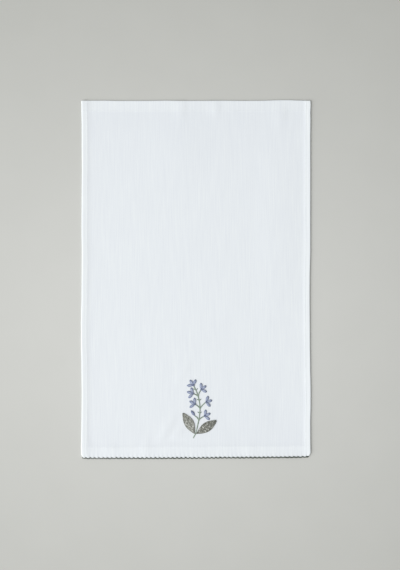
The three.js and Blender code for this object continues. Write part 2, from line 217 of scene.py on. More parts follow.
cottonLook = {
    "slubWide": 1.5,   # a thick stretch of yarn is a streak this wide
    "slubLong": 75.0,  # and this long
    "slubStart": 7.3,  # yarns this far apart start a whole streak later
    "yarn": 1.0,       # spacing of the weave, about twice the real one, which is too fine to show
    "slubRise": 0.03,
    "weaveRise": 0.05,
    "palest": 0.18,    # a hem's layers let less of the dark floor through, so it looks this much lighter; the painted shade in the pale mark is scaled by this too
    "tones": [(0.25, "#e4e9ee"), (0.5, "#e8edf1"), (0.8, "#eef3f5"), (1.0, "#f3f6f7")],
}


def slubCotton():
    # plain-woven cotton, washed and pressed: matt cool white, with thick and thin yarns that run the length
    # of the cloth as long soft streaks, and a weave that shows only close up
    look = cottonLook
    material, tree, shader = newMaterial("slub_cotton", {
        "Roughness": 0.92, "Specular IOR Level": 0.2, "Sheen Weight": 0.06, "Sheen Roughness": 0.6})
    place = addNode(tree, "ShaderNodeTexCoord").outputs["Object"]
    yarn = addNode(tree, "ShaderNodeAttribute", {"attribute_name": "yarn"})
    slub = addNode(tree, "ShaderNodeTexNoise", {"Scale": 1.0, "Detail": 2.5, "Roughness": 0.55},
                   {"Vector": yarn.outputs["Vector"]})
    # the pale mark: hems lighter where less floor shows through, and painted shade that greys the cloth
    # towards its ends
    pale = addNode(tree, "ShaderNodeAttribute", {"attribute_name": "pale"})
    tone = addNode(tree, "ShaderNodeMath", {"operation": "MULTIPLY_ADD", 1: look["palest"]},
                   {0: pale.outputs["Fac"], 2: slub.outputs["Fac"]})
    colour = addNode(tree, "ShaderNodeValToRGB", {"ramp": look["tones"]}, {"Fac": tone.outputs[0]})
    perYarn = 2 * np.pi / 20 / (look["yarn"] * mm)  # a band pattern has one wave in a twentieth of a turn
    warp = addNode(tree, "ShaderNodeTexWave", {"Scale": perYarn, "bands_direction": "X"}, {"Vector": place})
    weft = addNode(tree, "ShaderNodeTexWave", {"Scale": perYarn, "bands_direction": "Y"}, {"Vector": place})
    weave = addNode(tree, "ShaderNodeMath", {"operation": "MULTIPLY"},
                    {0: warp.outputs["Fac"], 1: weft.outputs["Fac"]})
    yarnBump = addNode(tree, "ShaderNodeBump", {"Strength": 1.0, "Distance": look["slubRise"] * mm},
                       {"Height": slub.outputs["Fac"]})
    weaveBump = addNode(tree, "ShaderNodeBump", {"Strength": 1.0, "Distance": look["weaveRise"] * mm},
                        {"Height": weave.outputs[0], "Normal": yarnBump.outputs["Normal"]})
    tree.links.new(colour.outputs["Color"], shader.inputs["Base Color"])
    tree.links.new(weaveBump.outputs["Normal"], shader.inputs["Normal"])
    return material


def twistedThread(name, tones, rough, rise):
    # spun and twisted cotton thread: a soft sheen along each stitch, fine ridges where its strands wind, and
    # a tone that changes from stitch to stitch
    material, tree, shader = newMaterial(name, {
        "Roughness": rough, "Specular IOR Level": 0.35, "Sheen Weight": 0.15, "Sheen Roughness": 0.4})
    shade = addNode(tree, "ShaderNodeAttribute", {"attribute_name": "shade"})
    strand = addNode(tree, "ShaderNodeAttribute", {"attribute_name": "strand"})
    colour = addNode(tree, "ShaderNodeValToRGB", {"ramp": tones}, {"Fac": shade.outputs["Fac"]})
    winding = addNode(tree, "ShaderNodeTexWave", {"Scale": 1.0, "bands_direction": "DIAGONAL"},
                      {"Vector": strand.outputs["Vector"]})
    ridges = addNode(tree, "ShaderNodeBump", {"Strength": 0.6, "Distance": rise * mm},
                     {"Height": winding.outputs["Fac"]})
    tree.links.new(colour.outputs["Color"], shader.inputs["Base Color"])
    tree.links.new(ridges.outputs["Normal"], shader.inputs["Normal"])
    return material


cotton = slubCotton()
seamThread = twistedThread("white_sewing_thread", [(0, "#e4e9ec"), (1, "#f0f4f6")], 0.7, 0.05)
edgingThread = twistedThread(
    "sage_edging_thread", [(0, "#3e453e"), (0.5, "#4f564f"), (1, "#676e66")], 0.6, 0.1)
stemThread = twistedThread(
    "sage_stem_thread", [(0, "#7a897b"), (0.5, "#90a090"), (1, "#b4c1b4")], 0.5, 0.06)
leafThread = twistedThread(
    "taupe_leaf_thread", [(0, "#6d6f67"), (0.35, "#888a82"), (0.7, "#acaea6"), (1, "#d0d2cc")], 0.5, 0.06)
petalThread = twistedThread(
    "lilac_petal_thread", [(0, "#5f6886"), (0.35, "#7c86a2"), (0.7, "#9fa9c2"), (1, "#ccd3e1")], 0.45, 0.06)
print("materials:", len(bpy.data.materials))


# The cloth

towel = {
    "width": 449.0,
    "length": 701.0,        # the edging included
    "thickness": 1.1,
    "cornerPress": 0.4,     # where two hems cross they press flatter than their sum by this share
    "borderReach": 60.0,    # past a hem's step the face falls further over this wide a border
    "beadWide": 5.5,        # the folded layers swell over this width beside each folded edge
    "beadInset": 1.0,       # and most this far inside the fold's round
    "turnSoft": 1.0,        # the turned layers end over this much to either side of a hem's width
    "seamInset": 1.4,       # the seam runs this far inside a hem's inner edge, along a low crest
    "seamWide": 1.1,
    "foldMiddle": 0.52,     # height of the fold's outermost line, as a share of the thickness
    "lowerCorner": 4.0,     # radius of the two lower corners
    "upperCorner": 2.0,
    "foot": 0.4,            # the cloth ends this far above the outer side of its edging
    "scallops": 53,
    "scallopDepth": (2.1, 1.3),  # at the left and at the right
    "scallopLowest": 0.66,  # a scallop leans: it hangs lowest at this share of its width
    "scallopFade": 7.0,     # the pull of the thread fades over this distance
    "scallopPuff": 0.2,     # a scallop swells by this much between its notches
    "paleTurn": (0.4, 0.6),   # between these shares of the width a hem's paleness goes from start to end, and the open cloth's painted shade goes from left to right
    "paintedShadeTurn": (0.4, 0.75),  # and the open cloth's greyness from left to right
}

# each hem's width, the width of its fold's round, the rise of the swelling beside the fold, the step down
# past the seam and the width it takes, the fall over the border further in, the seam's crest, the strength
# and start of its ripples, and how pale it looks at its start and its end, which on the two end hems also
# holds painted shade, the fall of light towards the cloth's ends
hems = {
    "left": {"width": 12.0, "fold": 1.9, "bead": 0.38, "step": 0.35, "reach": 13, "fall": 0.3, "crest": 0.09,
             "ripple": 0.35, "start": 0.0, "pale": (1.0, 1.0)},
    "right": {"width": 10.8, "fold": 0.8, "bead": 0.42, "step": 0.3, "reach": 7, "fall": 0.3, "crest": 0.06,
              "ripple": 0.35, "start": 0.3, "pale": (1.0, 1.0)},
    "lower": {"width": 23.0, "fold": 1.6, "bead": 0.15, "step": 0.22, "reach": 11, "fall": 0.3, "crest": 0.0,
              "ripple": 0.8, "start": 0.55, "pale": (0.35, 0.3)},
    "upper": {"width": 21.8, "fold": 1.0, "bead": 0.08, "step": 0.04, "reach": 6, "fall": 0.0, "crest": 0.0,
              "ripple": 0.8, "start": 0.8, "pale": (0.4, -0.5)},
}

# painted shade: the open cloth is greyer towards its two ends, where the light falls off: by how much at the
# left and the right, and how far it reaches
paintedShadeEnds = {"lower": (0.4, 1.1, 230.0), "upper": (1.2, 0.9, 240.0)}

# how far each edge lies inside the full rectangle: share of the way along it, inset
edgeInset = {
    "left": [(0, 0.3), (0.018, 0.25), (0.031, 0), (0.044, 0.5), (0.1, 1), (0.17, 1.5), (0.27, 0.9),
             (0.32, 0), (0.37, 0), (0.46, 1.2), (0.57, 1.6), (0.64, 1.05), (0.72, 1.35), (0.81, 1.75),
             (0.88, 1.4), (0.935, 1.35), (0.97, 0.8), (0.99, 0.75), (1, 0.3)],
    "right": [(0, 0.2), (0.045, 0.6), (0.095, 0.75), (0.14, 0), (0.185, 0), (0.25, 0.85), (0.32, 1.5),
              (0.45, 1.95), (0.5, 1.8), (0.58, 0.65), (0.7, 0.72), (0.78, 0.6), (0.89, 0.75), (0.945, 0.36),
              (0.966, 0.6), (0.986, 0), (1, 0.25)],
    "lower": [(0, 2.6), (0.007, 1), (0.02, 0), (0.32, 0.05), (0.42, 0.4), (0.55, 0.5), (0.605, 1.15),
              (0.66, 1.2), (0.72, 1.2), (0.78, 1.25), (0.84, 1.7), (0.9, 1.9), (0.95, 2.2), (0.982, 2.9),
              (1, 6.2)],
    "upper": [(0, 1.1), (0.04, 1), (0.1, 0.95), (0.16, 1.4), (0.27, 1.4), (0.37, 0.95), (0.44, 1.4),
              (0.53, 1.25), (0.61, 1), (0.7, 1.3), (0.78, 1.15), (0.875, 0), (0.905, 0), (0.95, 0.7),
              (1, 1.2)],
}

# soft ridges where the cloth stands off the table: middle x and y, turn of the crest, length, width, rise,
# and how far the crest leans towards the right-hand foot; the one below zero is a trough
ridges = [
    (-58, -288, 55, 84, 30, 0.7, 0.2),     # at the foot of the embroidery
    (-34, -303, 38, 46, 20, 0.45, -0.2),
    (-34, -316, 7, 84, 12, -0.18, 0.0),
    (-27, -181, 55, 75, 26, 0.42, 0.2),    # beside its tip
    (115, -258, 95, 150, 100, 0.4, 0.0),
    (160, 90, 88, 580, 114, 0.65, 0.0),    # along the right hem
    (-40, 270, 86, 240, 150, 0.5, 0.0),
    (75, -50, 37, 170, 40, 0.2, 0.0),
    (98, -180, 41, 90, 30, 0.12, 0.0),
    (-37, 335, 88, 62, 45, 0.55, 0.44),    # puckers of the upper hem
    (33, 337, 90, 50, 38, 0.5, 0.25),
    (156, 322, 84, 66, 52, 0.5, 0.4),
    (-168, -334, 92, 54, 38, 0.3, 0.0),    # puckers of the lower hem
    (-98, -333, 84, 60, 34, 0.4, 0.0),
    (107, -334, 95, 56, 38, 0.2, 0.0),
    (-219, 340, 90, 46, 40, 0.45, 0.0),    # the two corners at the left
    (-212, -328, 90, 56, 28, 0.3, 0.0),
]

# the seams draw the hems into fine ripples: wave length, height, start, and the length over which each swells
# and fades
hemRipples = [(5.7, 0.006, 0.1, 83), (9.1, 0.01, 0.6, 121), (14.3, 0.016, 0.35, 67), (26, 0.03, 0.8, 149)]
rippleReach = 9.0  # the ripples die away this far from a seam
slubRelief = {"waves": 24, "wide": (3.6, 8.0), "long": (150.0, 700.0), "height": 0.0012, "seed": 7}


def notchAt(u):
    # 1 at a notch between two scallops and 0 where a scallop hangs lowest: half a sine wave that leans
    bend = np.log(0.5) / np.log(towel["scallopLowest"])
    return 1 - np.sin(np.pi * np.mod(u * towel["scallops"], 1) ** bend)


def clothPlan(across, up):
    # straight lines run between the uneven edges; near a corner the square rings of the grid become round
    # ones; the lower edge is drawn up at each notch, and less so further in
    u = across / towel["width"]
    v = up / towel["length"]
    left = tableAt(edgeInset["left"], v) - towel["width"] / 2
    right = towel["width"] / 2 - tableAt(edgeInset["right"], v)
    low = tableAt(edgeInset["lower"], u) - towel["length"] / 2 + towel["foot"]
    high = towel["length"] / 2 - tableAt(edgeInset["upper"], u)
    x = left + (right - left) * u
    y = low + (high - low) * v
    radius = np.where(v < 0.5, towel["lowerCorner"], towel["upperCorner"])
    deepX = radius - np.minimum(x - left, right - x)
    deepY = radius - np.minimum(y - low, high - y)
    inCorner = (deepX > 0) & (deepY > 0)
    reach = np.where(inCorner, np.hypot(deepX, deepY), 1)
    shrink = np.where(inCorner, 1 - np.maximum(deepX, deepY) / reach, 0)
    depth = between(towel["scallopDepth"], u)
    pull = depth * notchAt(u) * (1 - ease(up, 0, towel["scallopFade"]))
    return x + np.sign(0.5 - u) * deepX * shrink, y + np.sign(0.5 - v) * deepY * shrink + pull


def clothLift(x, y):
    # each ridge is an oval bump, the square of one less its squared distance from the middle, measured across
    # it from a crest that may lean to one side
    lift = np.zeros_like(x)
    for middleX, middleY, turn, long, wide, rise, lean in ridges:
        c, s = heading(turn)
        along = ((x - middleX) * c + (y - middleY) * s) / (long / 2)
        across = np.clip(((y - middleY) * c - (x - middleX) * s) / (wide / 2), -1, 1)
        across = across + lean * (1 - across ** 2)
        lift += rise * np.clip(1 - along ** 2 - across ** 2, 0, None) ** 2
    return lift


def rippleAt(along, start):
    # cosine waves of a few lengths, each swelling and fading along the hem
    total = np.zeros_like(along)
    for length, height, first, swell in hemRipples:
        envelope = 0.5 + 0.5 * np.cos(2 * np.pi * (along / swell + 3 * first + start))
        total += height * envelope * np.cos(2 * np.pi * (along / length + first + start))
    return total


def slubsAt(x, y):
    # thick and thin yarns: many low waves, narrow across the cloth and long up it, from seeded starts
    rng = np.random.default_rng(slubRelief["seed"])
    total = np.zeros_like(x)
    for _ in range(slubRelief["waves"]):
        wide, long = rng.uniform(*slubRelief["wide"]), rng.uniform(*slubRelief["long"])
        waves = x / wide + y / long * rng.choice([-1, 1]) + rng.uniform()
        total += slubRelief["height"] * np.cos(2 * np.pi * waves)
    return total


def hemPlaces(across, up):
    # distance from each hem's folded edge, and the place along it
    return {"left": (across, up), "right": (towel["width"] - across, up),
            "lower": (up, across), "upper": (towel["length"] - up, across)}


def together(parts):
    # joins shares from 0 to 1 softly, so that two crossing hems press flatter than their sum
    return 1 - np.prod([1 - part for part in parts], axis=0)


def paintedShadeAt(across, up):
    # painted shade towards the ends of the cloth: it falls with the square of the way from each end
    total = np.zeros_like(across)
    for name, (atLeft, atRight, reach) in paintedShadeEnds.items():
        distance, along = hemPlaces(across, up)[name]
        amount = between((atLeft, atRight), ease(along / towel["width"], *towel["paintedShadeTurn"]))
        total += amount * np.clip(1 - distance / reach, 0, 1) ** 2
    return total


def clothSurface(across, up):
    # face and back of the cloth at places on the flat cut, and how pale it looks there: paler on the hems,
    # and greyer towards the cloth's ends with painted shade. From each hem the face falls with the cube of
    # the way over a short width and with its square over a wide border, where the back stands off the table
    # too. A bell-shaped swelling follows each fold, and ripples, yarns and the seam's bell-shaped crest are
    # added. Both sides close to the fold's middle line in a quarter ellipse at each edge
    x, y = clothPlan(across, up)
    steps, borders, turned, beads, crests, inward, pales = [], [], [], [], [], [], []
    ripple = np.zeros_like(x)
    for name, (distance, along) in hemPlaces(across, up).items():
        hem = hems[name]
        width, fold, soft = hem["width"], hem["fold"], towel["turnSoft"]
        line = width - towel["seamInset"]
        crown = fold + towel["beadInset"]
        steps.append(hem["step"] * np.clip(1 - (distance - width) / hem["reach"], 0, 1) ** 3)
        borders.append(hem["fall"] * np.clip(1 - (distance - width) / towel["borderReach"], 0, 1) ** 2)
        turned.append(1 - ease(distance, width - soft, width + soft))
        beads.append(hem["bead"] * np.exp(-((distance - crown) / towel["beadWide"]) ** 2))
        crests.append(hem["crest"] * np.exp(-((distance - line) / towel["seamWide"]) ** 2))
        inward.append(distance / fold)
        fade = np.exp(-((distance - line) / rippleReach) ** 2)
        ripple += hem["ripple"] * rippleAt(along, hem["start"]) * fade
        pales.append(between(hem["pale"], ease(along / towel["width"], *towel["paleTurn"])) * turned[-1])
    side = np.maximum(steps[0], steps[1])
    end = np.maximum(steps[2], steps[3])
    rise = side + end - towel["cornerPress"] * np.minimum(side, end)
    rise += np.max(beads, axis=0) + np.max(crests, axis=0)
    border = together(borders)
    turnedUnder = together(turned)
    roundness = np.sqrt(1 - (1 - np.clip(np.min(inward, axis=0), 0, 1)) ** 2)
    swelling = 1 - 2 * notchAt(across / towel["width"])
    puff = towel["scallopPuff"] * swelling * np.exp(-(up / towel["scallopFade"]) ** 2)
    lift = clothLift(x, y) + border
    top = lift + towel["thickness"] + rise + ripple + puff + slubsAt(x, y)
    low = lift - border * turnedUnder
    middle = low + towel["foldMiddle"] * (top - low)
    face = middle + (top - middle) * roundness
    back = middle + (low - middle) * roundness
    sides = np.maximum(pales[0], pales[1])
    # the pale mark: lighter hems, less the painted shade towards the cloth's ends, which the end hems carry
    # in their own pale values
    pale = np.maximum(sides, (pales[2] + pales[3]) * (1 - sides)) - paintedShadeAt(across, up) * (1 - turnedUnder)
    return np.stack([x, y, face], -1), np.stack([x, y, back], -1), pale


clothGrid = {
    "fold": [0, 0.06, 0.25, 0.6, 1.1, 1.9, 3.0, 4.4],  # lines beside a folded edge
    "seam": [-3.4, -2.3, -1.7, -1.1, -0.4, 0.5, 1.8],  # and to either side of a hem's inner edge
    "apart": 0.35,                # an even line nearer than this to one of those is left out
    "perScallop": 6,              # columns
    "closeRows": (6.5, 58, 3.4),  # first, end and spacing of the close rows, up to the sprig's foot
    "upperRows": 3,               # as many of these at the upper edge too
    "openRows": (60, 16, 7.2),    # the other rows: the first, how far from the upper edge they end, spacing
}


def gridLines(span, first, last, even):
    # the even lines of a span, with the extra ones on the folds and seams of its first and last hem
    fold, seam = np.array(clothGrid["fold"]), np.array(clothGrid["seam"])
    start, end = (np.concatenate([fold, hems[name]["width"] + seam]) for name in (first, last))
    extra = np.concatenate([start, span - end])
    apart = np.abs(even[:, None] - extra).min(axis=1) > clothGrid["apart"]
    return np.unique(np.concatenate([extra, even[apart]]))


def makeCloth():
    # columns divide each scallop evenly, and rows are evenly spaced, closer together near the lower edge
    width, length = towel["width"], towel["length"]
    evenColumns = np.linspace(0, width, towel["scallops"] * clothGrid["perScallop"] + 1)
    columns = gridLines(width, "left", "right", evenColumns)
    closer = np.arange(*clothGrid["closeRows"])
    first, short, spacing = clothGrid["openRows"]
    upper = length - closer[:clothGrid["upperRows"]]
    evenRows = np.concatenate([closer, np.arange(first, length - short, spacing), upper])
    rows = gridLines(length, "lower", "upper", evenRows)
    across, up = np.meshgrid(columns, rows)
    face, back, pale = clothSurface(across, up)
    points, quads = closeSheet(face, back)
    look = cottonLook
    streak = up / look["slubLong"] + across / look["slubStart"]
    yarn = np.stack([across / look["slubWide"], streak, np.zeros_like(up)], -1)
    # the pale mark holds the hems' paleness and the painted shade towards the cloth's ends
    marks = {"pale": np.concatenate([pale.ravel(), pale[1:-1, 1:-1].ravel()]),
             "yarn": np.vstack([yarn.reshape(-1, 3), yarn[1:-1, 1:-1].reshape(-1, 3)])}
    piece = buildPiece("towel_cloth", points, quads, cotton, marks)
    dress(piece, "cloth")
    print("cloth:", len(rows), "rows,", len(columns), "columns,", len(quads), "faces")
    return piece


seamStitch = {
    "pitch": 3.1,
    "gap": 0.5,
    "thread": 0.4,
    "lie": 0.3,    # in threads: how high a stitch's middle lies,
    "dive": 1.2,   # and how far its ends go down
    "clear": 2.0,  # the seam stops this far from the cloth's edges
    "steps": 5,
    "twist": 1.6,
    "shade": (0.2, 0.9),
    "seed": 3,
}


def makeSeams():
    # a machine seam round the four hems: short stitches laid along the seam, each diving in at both ends
    t = np.linspace(0, 1, seamStitch["steps"])
    arch = seamStitch["lie"] - seamStitch["dive"] * np.abs(2 * t - 1) ** 4
    pitch, clear = seamStitch["pitch"], seamStitch["clear"]
    paths = []
    runs = [("left", "length", "width", False), ("right", "length", "width", True),
            ("lower", "width", "length", False), ("upper", "width", "length", True)]
    for hem, span, side, far in runs:
        first = np.arange(clear, towel[span] - clear - pitch, pitch)
        along = first[:, None] + (pitch - seamStitch["gap"]) * t
        line = np.full_like(along, hems[hem]["width"] - towel["seamInset"])
        line = towel[side] - line if far else line
        across, up = (line, along) if span == "length" else (along, line)
        path = clothSurface(across, up)[0]
        path[..., 2] += seamStitch["thread"] * arch
        paths.append(path)
    paths = np.concatenate(paths)
    shade = np.random.default_rng(seamStitch["seed"]).uniform(*seamStitch["shade"], len(paths))
    thread, twist = seamStitch["thread"], seamStitch["twist"]
    tubes = threadTubes(paths, thread, thread, shade, strands=2, twist=twist)
    return threadPiece("hem_stitching", [tubes], seamThread)


edging = {
    "thread": (1.6, 2.55),  # thickness at the left and at the right
    "uneven": (0.9, 1.1),   # a stitch has between these shares of it,
    "climbThread": 0.65,    # and less, down to this share, where it climbs to its notch,
    "climb": 0.4,           # over this share of its length
    "strands": 2,
    "twist": 4.2,
    "ply": 0.08,
    "sides": 10,
    # one stitch, from its notch down to the right along the edge and under to the back: share of a scallop,
    # height above its lowest part, height off the table
    "stitch": [(-0.06, 3.7, 1.0), (0, 3.3, 1.9), (0.13, 2.2, 2.15), (0.32, 0.75, 1.9), (0.55, 0, 1.6),
               (0.8, 0, 1.3), (1.0, 1.1, 0.9), (1.12, 2.1, 0.6)],
    "lowest": (0.0, 0.3),   # height of a stitch's lowest part at the left and at the right
    "rise": (0.75, 0.5),    # and the share of its further height that is kept there
    "late": 0.3,            # a stitch starts up to this much early or late,
    "riseUneven": (0.9, 1.15),   # climbs by between these shares of its height,
    "lowUneven": (-0.08, 0.12),  # and lies between this much lower and higher
    "shade": (0.2, 0.8),
    "steps": 27,
    "endClear": (3.0, 4.2),  # the thread stops this far from the left and the right corner
    "seed": 11,
}


def makeEdging():
    # overcast stitches, one to a scallop: each is a smooth curve through the knots above, laid over the next;
    # they start a little early or late, and towards the right they are flatter and the thread is thicker. The
    # first starts past its corner, and the last is shortened to end before the other
    rng = np.random.default_rng(edging["seed"])
    late, (clearLeft, clearRight) = edging["late"], edging["endClear"]
    stitch = curveThrough(edging["stitch"], edging["steps"])
    left = edgeInset["left"][0][1] - towel["width"] / 2
    right = towel["width"] / 2 - edgeInset["right"][0][1]
    pitch = (right - left) / towel["scallops"]
    notch = left + pitch * np.arange(towel["scallops"])[:, None]
    room = (right - clearRight - notch) / pitch / stitch[-1, 0]
    x = notch + stitch[:, 0] * pitch * np.minimum(room, 1) + rng.uniform(-late, late, notch.shape)
    x = np.maximum(x, left + clearLeft)
    share = (notch - left) / (right - left)
    rise = between(edging["rise"], share) * rng.uniform(*edging["riseUneven"], notch.shape)
    above = between(edging["lowest"], share) + stitch[:, 1] * rise
    above += rng.uniform(*edging["lowUneven"], notch.shape)
    y = tableAt(edgeInset["lower"], (x - left) / (right - left)) - towel["length"] / 2 + above
    shade = rng.uniform(*edging["shade"], len(notch))
    width = between(edging["thread"], share) * rng.uniform(*edging["uneven"], notch.shape)
    climbed = ease(np.linspace(0, 1, edging["steps"]), 0, edging["climb"])
    width = width * between((edging["climbThread"], 1), climbed)
    z = clothLift(x, y) + np.maximum(stitch[:, 2], (1 + edging["ply"]) * width / 2)  # never under the table
    paths = np.stack([x, y, z], -1)
    winding = {key: edging[key] for key in ("sides", "strands", "twist", "ply")}
    tubes = threadTubes(paths, width, width, shade, **winding)
    return threadPiece("overcast_edging", [tubes], edgingThread, "edging")


towelCloth = makeCloth()
hemSeams = makeSeams()
overcast = makeEdging()


# The sprig

stem = {
    "x": -0.2,
    "y": -300.9,      # the point where the leaves meet
    "height": 92.0,
    "sway": 8.0,      # the stem bows to the right by this much,
    "swayLate": 1.1,  # a little more than half way up,
    "tipLean": 4.0,   # and its tip leans back to the left
    "tail": (-5.5, -9.8),
    "branchBow": 0.9,
    "overrun": 1.5,   # a branch runs on under its bloom by this much
    "stitch": 5.6,    # length of a stem stitch
    "advance": 2.3,   # the next one starts this far after it
    "slant": 0.7,     # and each crosses the line by this much
    "thread": 1.9,
    "tall": 0.9,
    "shade": 0.5,
    "branchShade": 0.3,
    "bractHeights": (38.5, 63.5, 84),
    "bractReach": 5.6,
    "bractLean": 50,
    "bractThread": 1.5,
    "steps": 60,      # points along the stem, a branch and a bract
    "branchSteps": 15,
    "bractSteps": 6,
    "seed": 21,
}

# height up the stem, side, lean from upright, length, and how far the bloom turns from it towards the stem's
# tip; the first carries the bud and the others a floret each
branches = [(25.5, -1, 41, 10.5, 6), (25.5, 1, 54, 12.4, 3), (48, -1, 46, 11, 0), (48, 1, 42, 16, -19),
            (71.5, -1, 58, 9.5, 0), (71.5, 1, 22, 13.5, -18), (92, -1, 26, 0, 9)]

clothTop = towel["thickness"]
bladeEnds = 0.05  # the two ends of a blade keep this share of its width


def stemAt(height):
    # half a sine wave to the right, less a fifth power that draws the tip back; below the leaves it runs
    # straight
    share = np.maximum(height, 0) / stem["height"]
    curve = stem["sway"] * np.sin(np.pi * share ** stem["swayLate"]) - stem["tipLean"] * share ** 5
    tail = height * stem["tail"][0] / stem["tail"][1]
    x = stem["x"] + np.where(height < 0, tail, curve)
    return np.stack([x, stem["y"] + height], -1)


def branchAt(height, side, lean, reach, turn):
    # where a branch leaves the stem, its direction, where it ends and the direction of its bloom
    start = stemAt(np.float64(height))
    angle = 90 - side * lean
    return start, angle, start + reach * heading(angle), angle + side * turn


rope = {
    "steps": 8,
    "ahead": 0.4,    # the path's direction is taken from this far before a point to this far after it
    "wander": 0.08,  # a stitch lies up to this much beside its place
    "lie": 0.3,      # in its own height: how high it lies,
    "arch": 0.25,    # how much higher in the middle,
    "dive": 0.75,    # and how far its ends go down
    "toneUneven": 0.15,
}


def ropeStitches(path, shade, length, advance, slant, width, tall, rng):
    # stem stitch: stitches of one length start one after the other along a path and cross it at a slant
    run = np.r_[0, np.cumsum(np.linalg.norm(np.diff(path[:, :2], axis=0), axis=1))]
    length = min(length, run[-1])
    count = int(round((run[-1] - length) / advance)) + 1
    t = np.linspace(0, 1, rope["steps"])
    at = np.linspace(0, run[-1] - length, count)[:, None] + length * t
    x, y, z = (np.interp(at, run, path[:, k]) for k in range(3))
    after, before = (np.stack([np.interp(place, run, path[:, k]) for k in (0, 1)], -1)
                     for place in (at + rope["ahead"], at - rope["ahead"]))
    aheadX, aheadY = np.moveaxis(after - before, -1, 0)
    norm = np.hypot(aheadX, aheadY)
    side = slant * (t - 0.5) + rng.uniform(-rope["wander"], rope["wander"], (count, 1))
    ends = np.abs(2 * t - 1)
    z = z + tall * (rope["lie"] + rope["arch"] * (1 - ends ** 2) - rope["dive"] * ends ** 8)
    paths = np.stack([x - side * aheadY / norm, y + side * aheadX / norm, z], -1)
    tone = shade + rng.uniform(-rope["toneUneven"], rope["toneUneven"], count)
    return threadTubes(paths, width, tall, tone)


def makeStem():
    # the stem with its tail, its side branches and its paired bracts, all in stem stitch
    rng = np.random.default_rng(stem["seed"])
    size = {"length": stem["stitch"], "advance": stem["advance"], "slant": stem["slant"],
            "width": stem["thread"], "tall": stem["tall"], "rng": rng}
    short = {**size, "width": stem["bractThread"]}

    def onCloth(plan):
        # a path in plan, laid on the cloth's face
        return np.column_stack([plan, np.full(len(plan), clothTop)])

    shade, pale = stem["shade"], stem["branchShade"]
    heights = np.linspace(stem["tail"][1], stem["height"] + stem["overrun"], stem["steps"])
    parts = [ropeStitches(onCloth(stemAt(heights)), shade, **size)]
    for branch in branches[:-1]:
        start, angle, end, _ = branchAt(*branch)
        bowed = (start + end) / 2 + stem["branchBow"] * heading(angle + branch[1] * 90)
        knots = [start, bowed, end + stem["overrun"] * heading(angle)]
        parts.append(ropeStitches(onCloth(curveThrough(knots, stem["branchSteps"])), pale, **size))
    for height in stem["bractHeights"]:
        for side in (-1, 1):
            start = stemAt(np.float64(height))
            end = start + stem["bractReach"] * heading(90 - side * stem["bractLean"])
            plan = np.linspace(start, end, stem["bractSteps"])
            parts.append(ropeStitches(onCloth(plan), pale, **short))
    return threadPiece("stem_stitches", parts, stemThread, "sprig_stem")


def bladeAt(root, angle, size, a, b, bow=0.0):
    # plan and height of a blade: a runs from its root to its tip and b across it. Its width is a sine wave
    # that swells most at widestAt, its middle line bows in half a sine wave, and its height falls from the
    # crown to the rim with the square of b
    bend = np.log(0.5) / np.log(size["widestAt"])
    swell = bladeEnds + (1 - bladeEnds) * np.abs(np.sin(np.pi * a ** bend)) ** size["fullness"]
    along = a * size["length"]
    aside = b * swell * size["width"] / 2 + bow * np.sin(np.pi * a)
    c, s = heading(angle)
    height = clothTop + size["rim"] + (size["crown"] - size["rim"]) * swell * (1 - b ** 2)
    return np.stack([root[0] + along * c - aside * s, root[1] + along * s + aside * c, height], -1), swell


# the underlay stays this share of its length inside a blade's ends, is this share as wide, has so many rows
# and columns, and its back sinks so far into the cloth
underlay = {"ends": 0.02, "sides": 0.96, "rows": 17, "columns": 9, "sink": 0.05}


def padding(root, angle, size, shade, bow=0.0):
    # the underlay of a blade: its crowned face over a flat back that lies just in the cloth
    ends, sides = underlay["ends"], underlay["sides"]
    a, b = np.meshgrid(np.linspace(ends, 1 - ends, underlay["rows"]),
                       np.linspace(-sides, sides, underlay["columns"]), indexing="ij")
    face, _ = bladeAt(root, angle, size, a, b[:, ::-1], bow)
    back = face.copy()
    back[..., 2] = clothTop - underlay["sink"]
    rim = np.ones(a.shape, bool)
    rim[1:-1, 1:-1] = False
    face[rim, 2] = clothTop
    points, quads = closeSheet(face, back)
    marks = {"shade": np.full(len(points), shade), "strand": np.zeros((len(points), 3))}
    return {"points": points, "quads": quads, **marks}


satin = {
    "steps": 10,
    "across": 0.86,   # the outer threads lie at this share of the half width
    "lie": 0.15,      # a thread lies this far above the underlay,
    "dive": 0.9,      # and its ends go down by this much
    "overlap": 1.3,   # a thread is wider than its place by this factor,
    "thinnest": 0.4,  # and never thinner than this
    "tall": 0.6,
    "toneUneven": 0.1,
}


def satinStitches(root, angle, size, rng):
    # satin stitch: threads side by side from root to tip over the underlay, each diving in at both ends.
    # Their tone falls with a power of the way to the blade's sides, and eases down to its tip and its root
    count, across = size["stitches"], satin["across"]
    a, b = np.meshgrid(np.linspace(0, 1, satin["steps"]), np.linspace(-across, across, count), indexing="xy")
    paths, swell = bladeAt(root, angle, size, a, b)
    paths[..., 2] += satin["lie"] - satin["dive"] * np.abs(2 * a - 1) ** 10
    width = np.maximum(satin["overlap"] * size["width"] / count * swell, satin["thinnest"])
    (tip, *tipSpan), (foot, *footSpan) = size["tipDark"], size["rootDark"]
    shade = size["tone"] - size["sideDark"] * np.abs(b) ** 1.6
    shade = shade - tip * ease(a, *tipSpan) - foot * (1 - ease(a, *footSpan))
    shade = shade + rng.uniform(-satin["toneUneven"], satin["toneUneven"], (count, 1))
    return threadTubes(paths, width, satin["tall"], np.clip(shade, 0, 1))


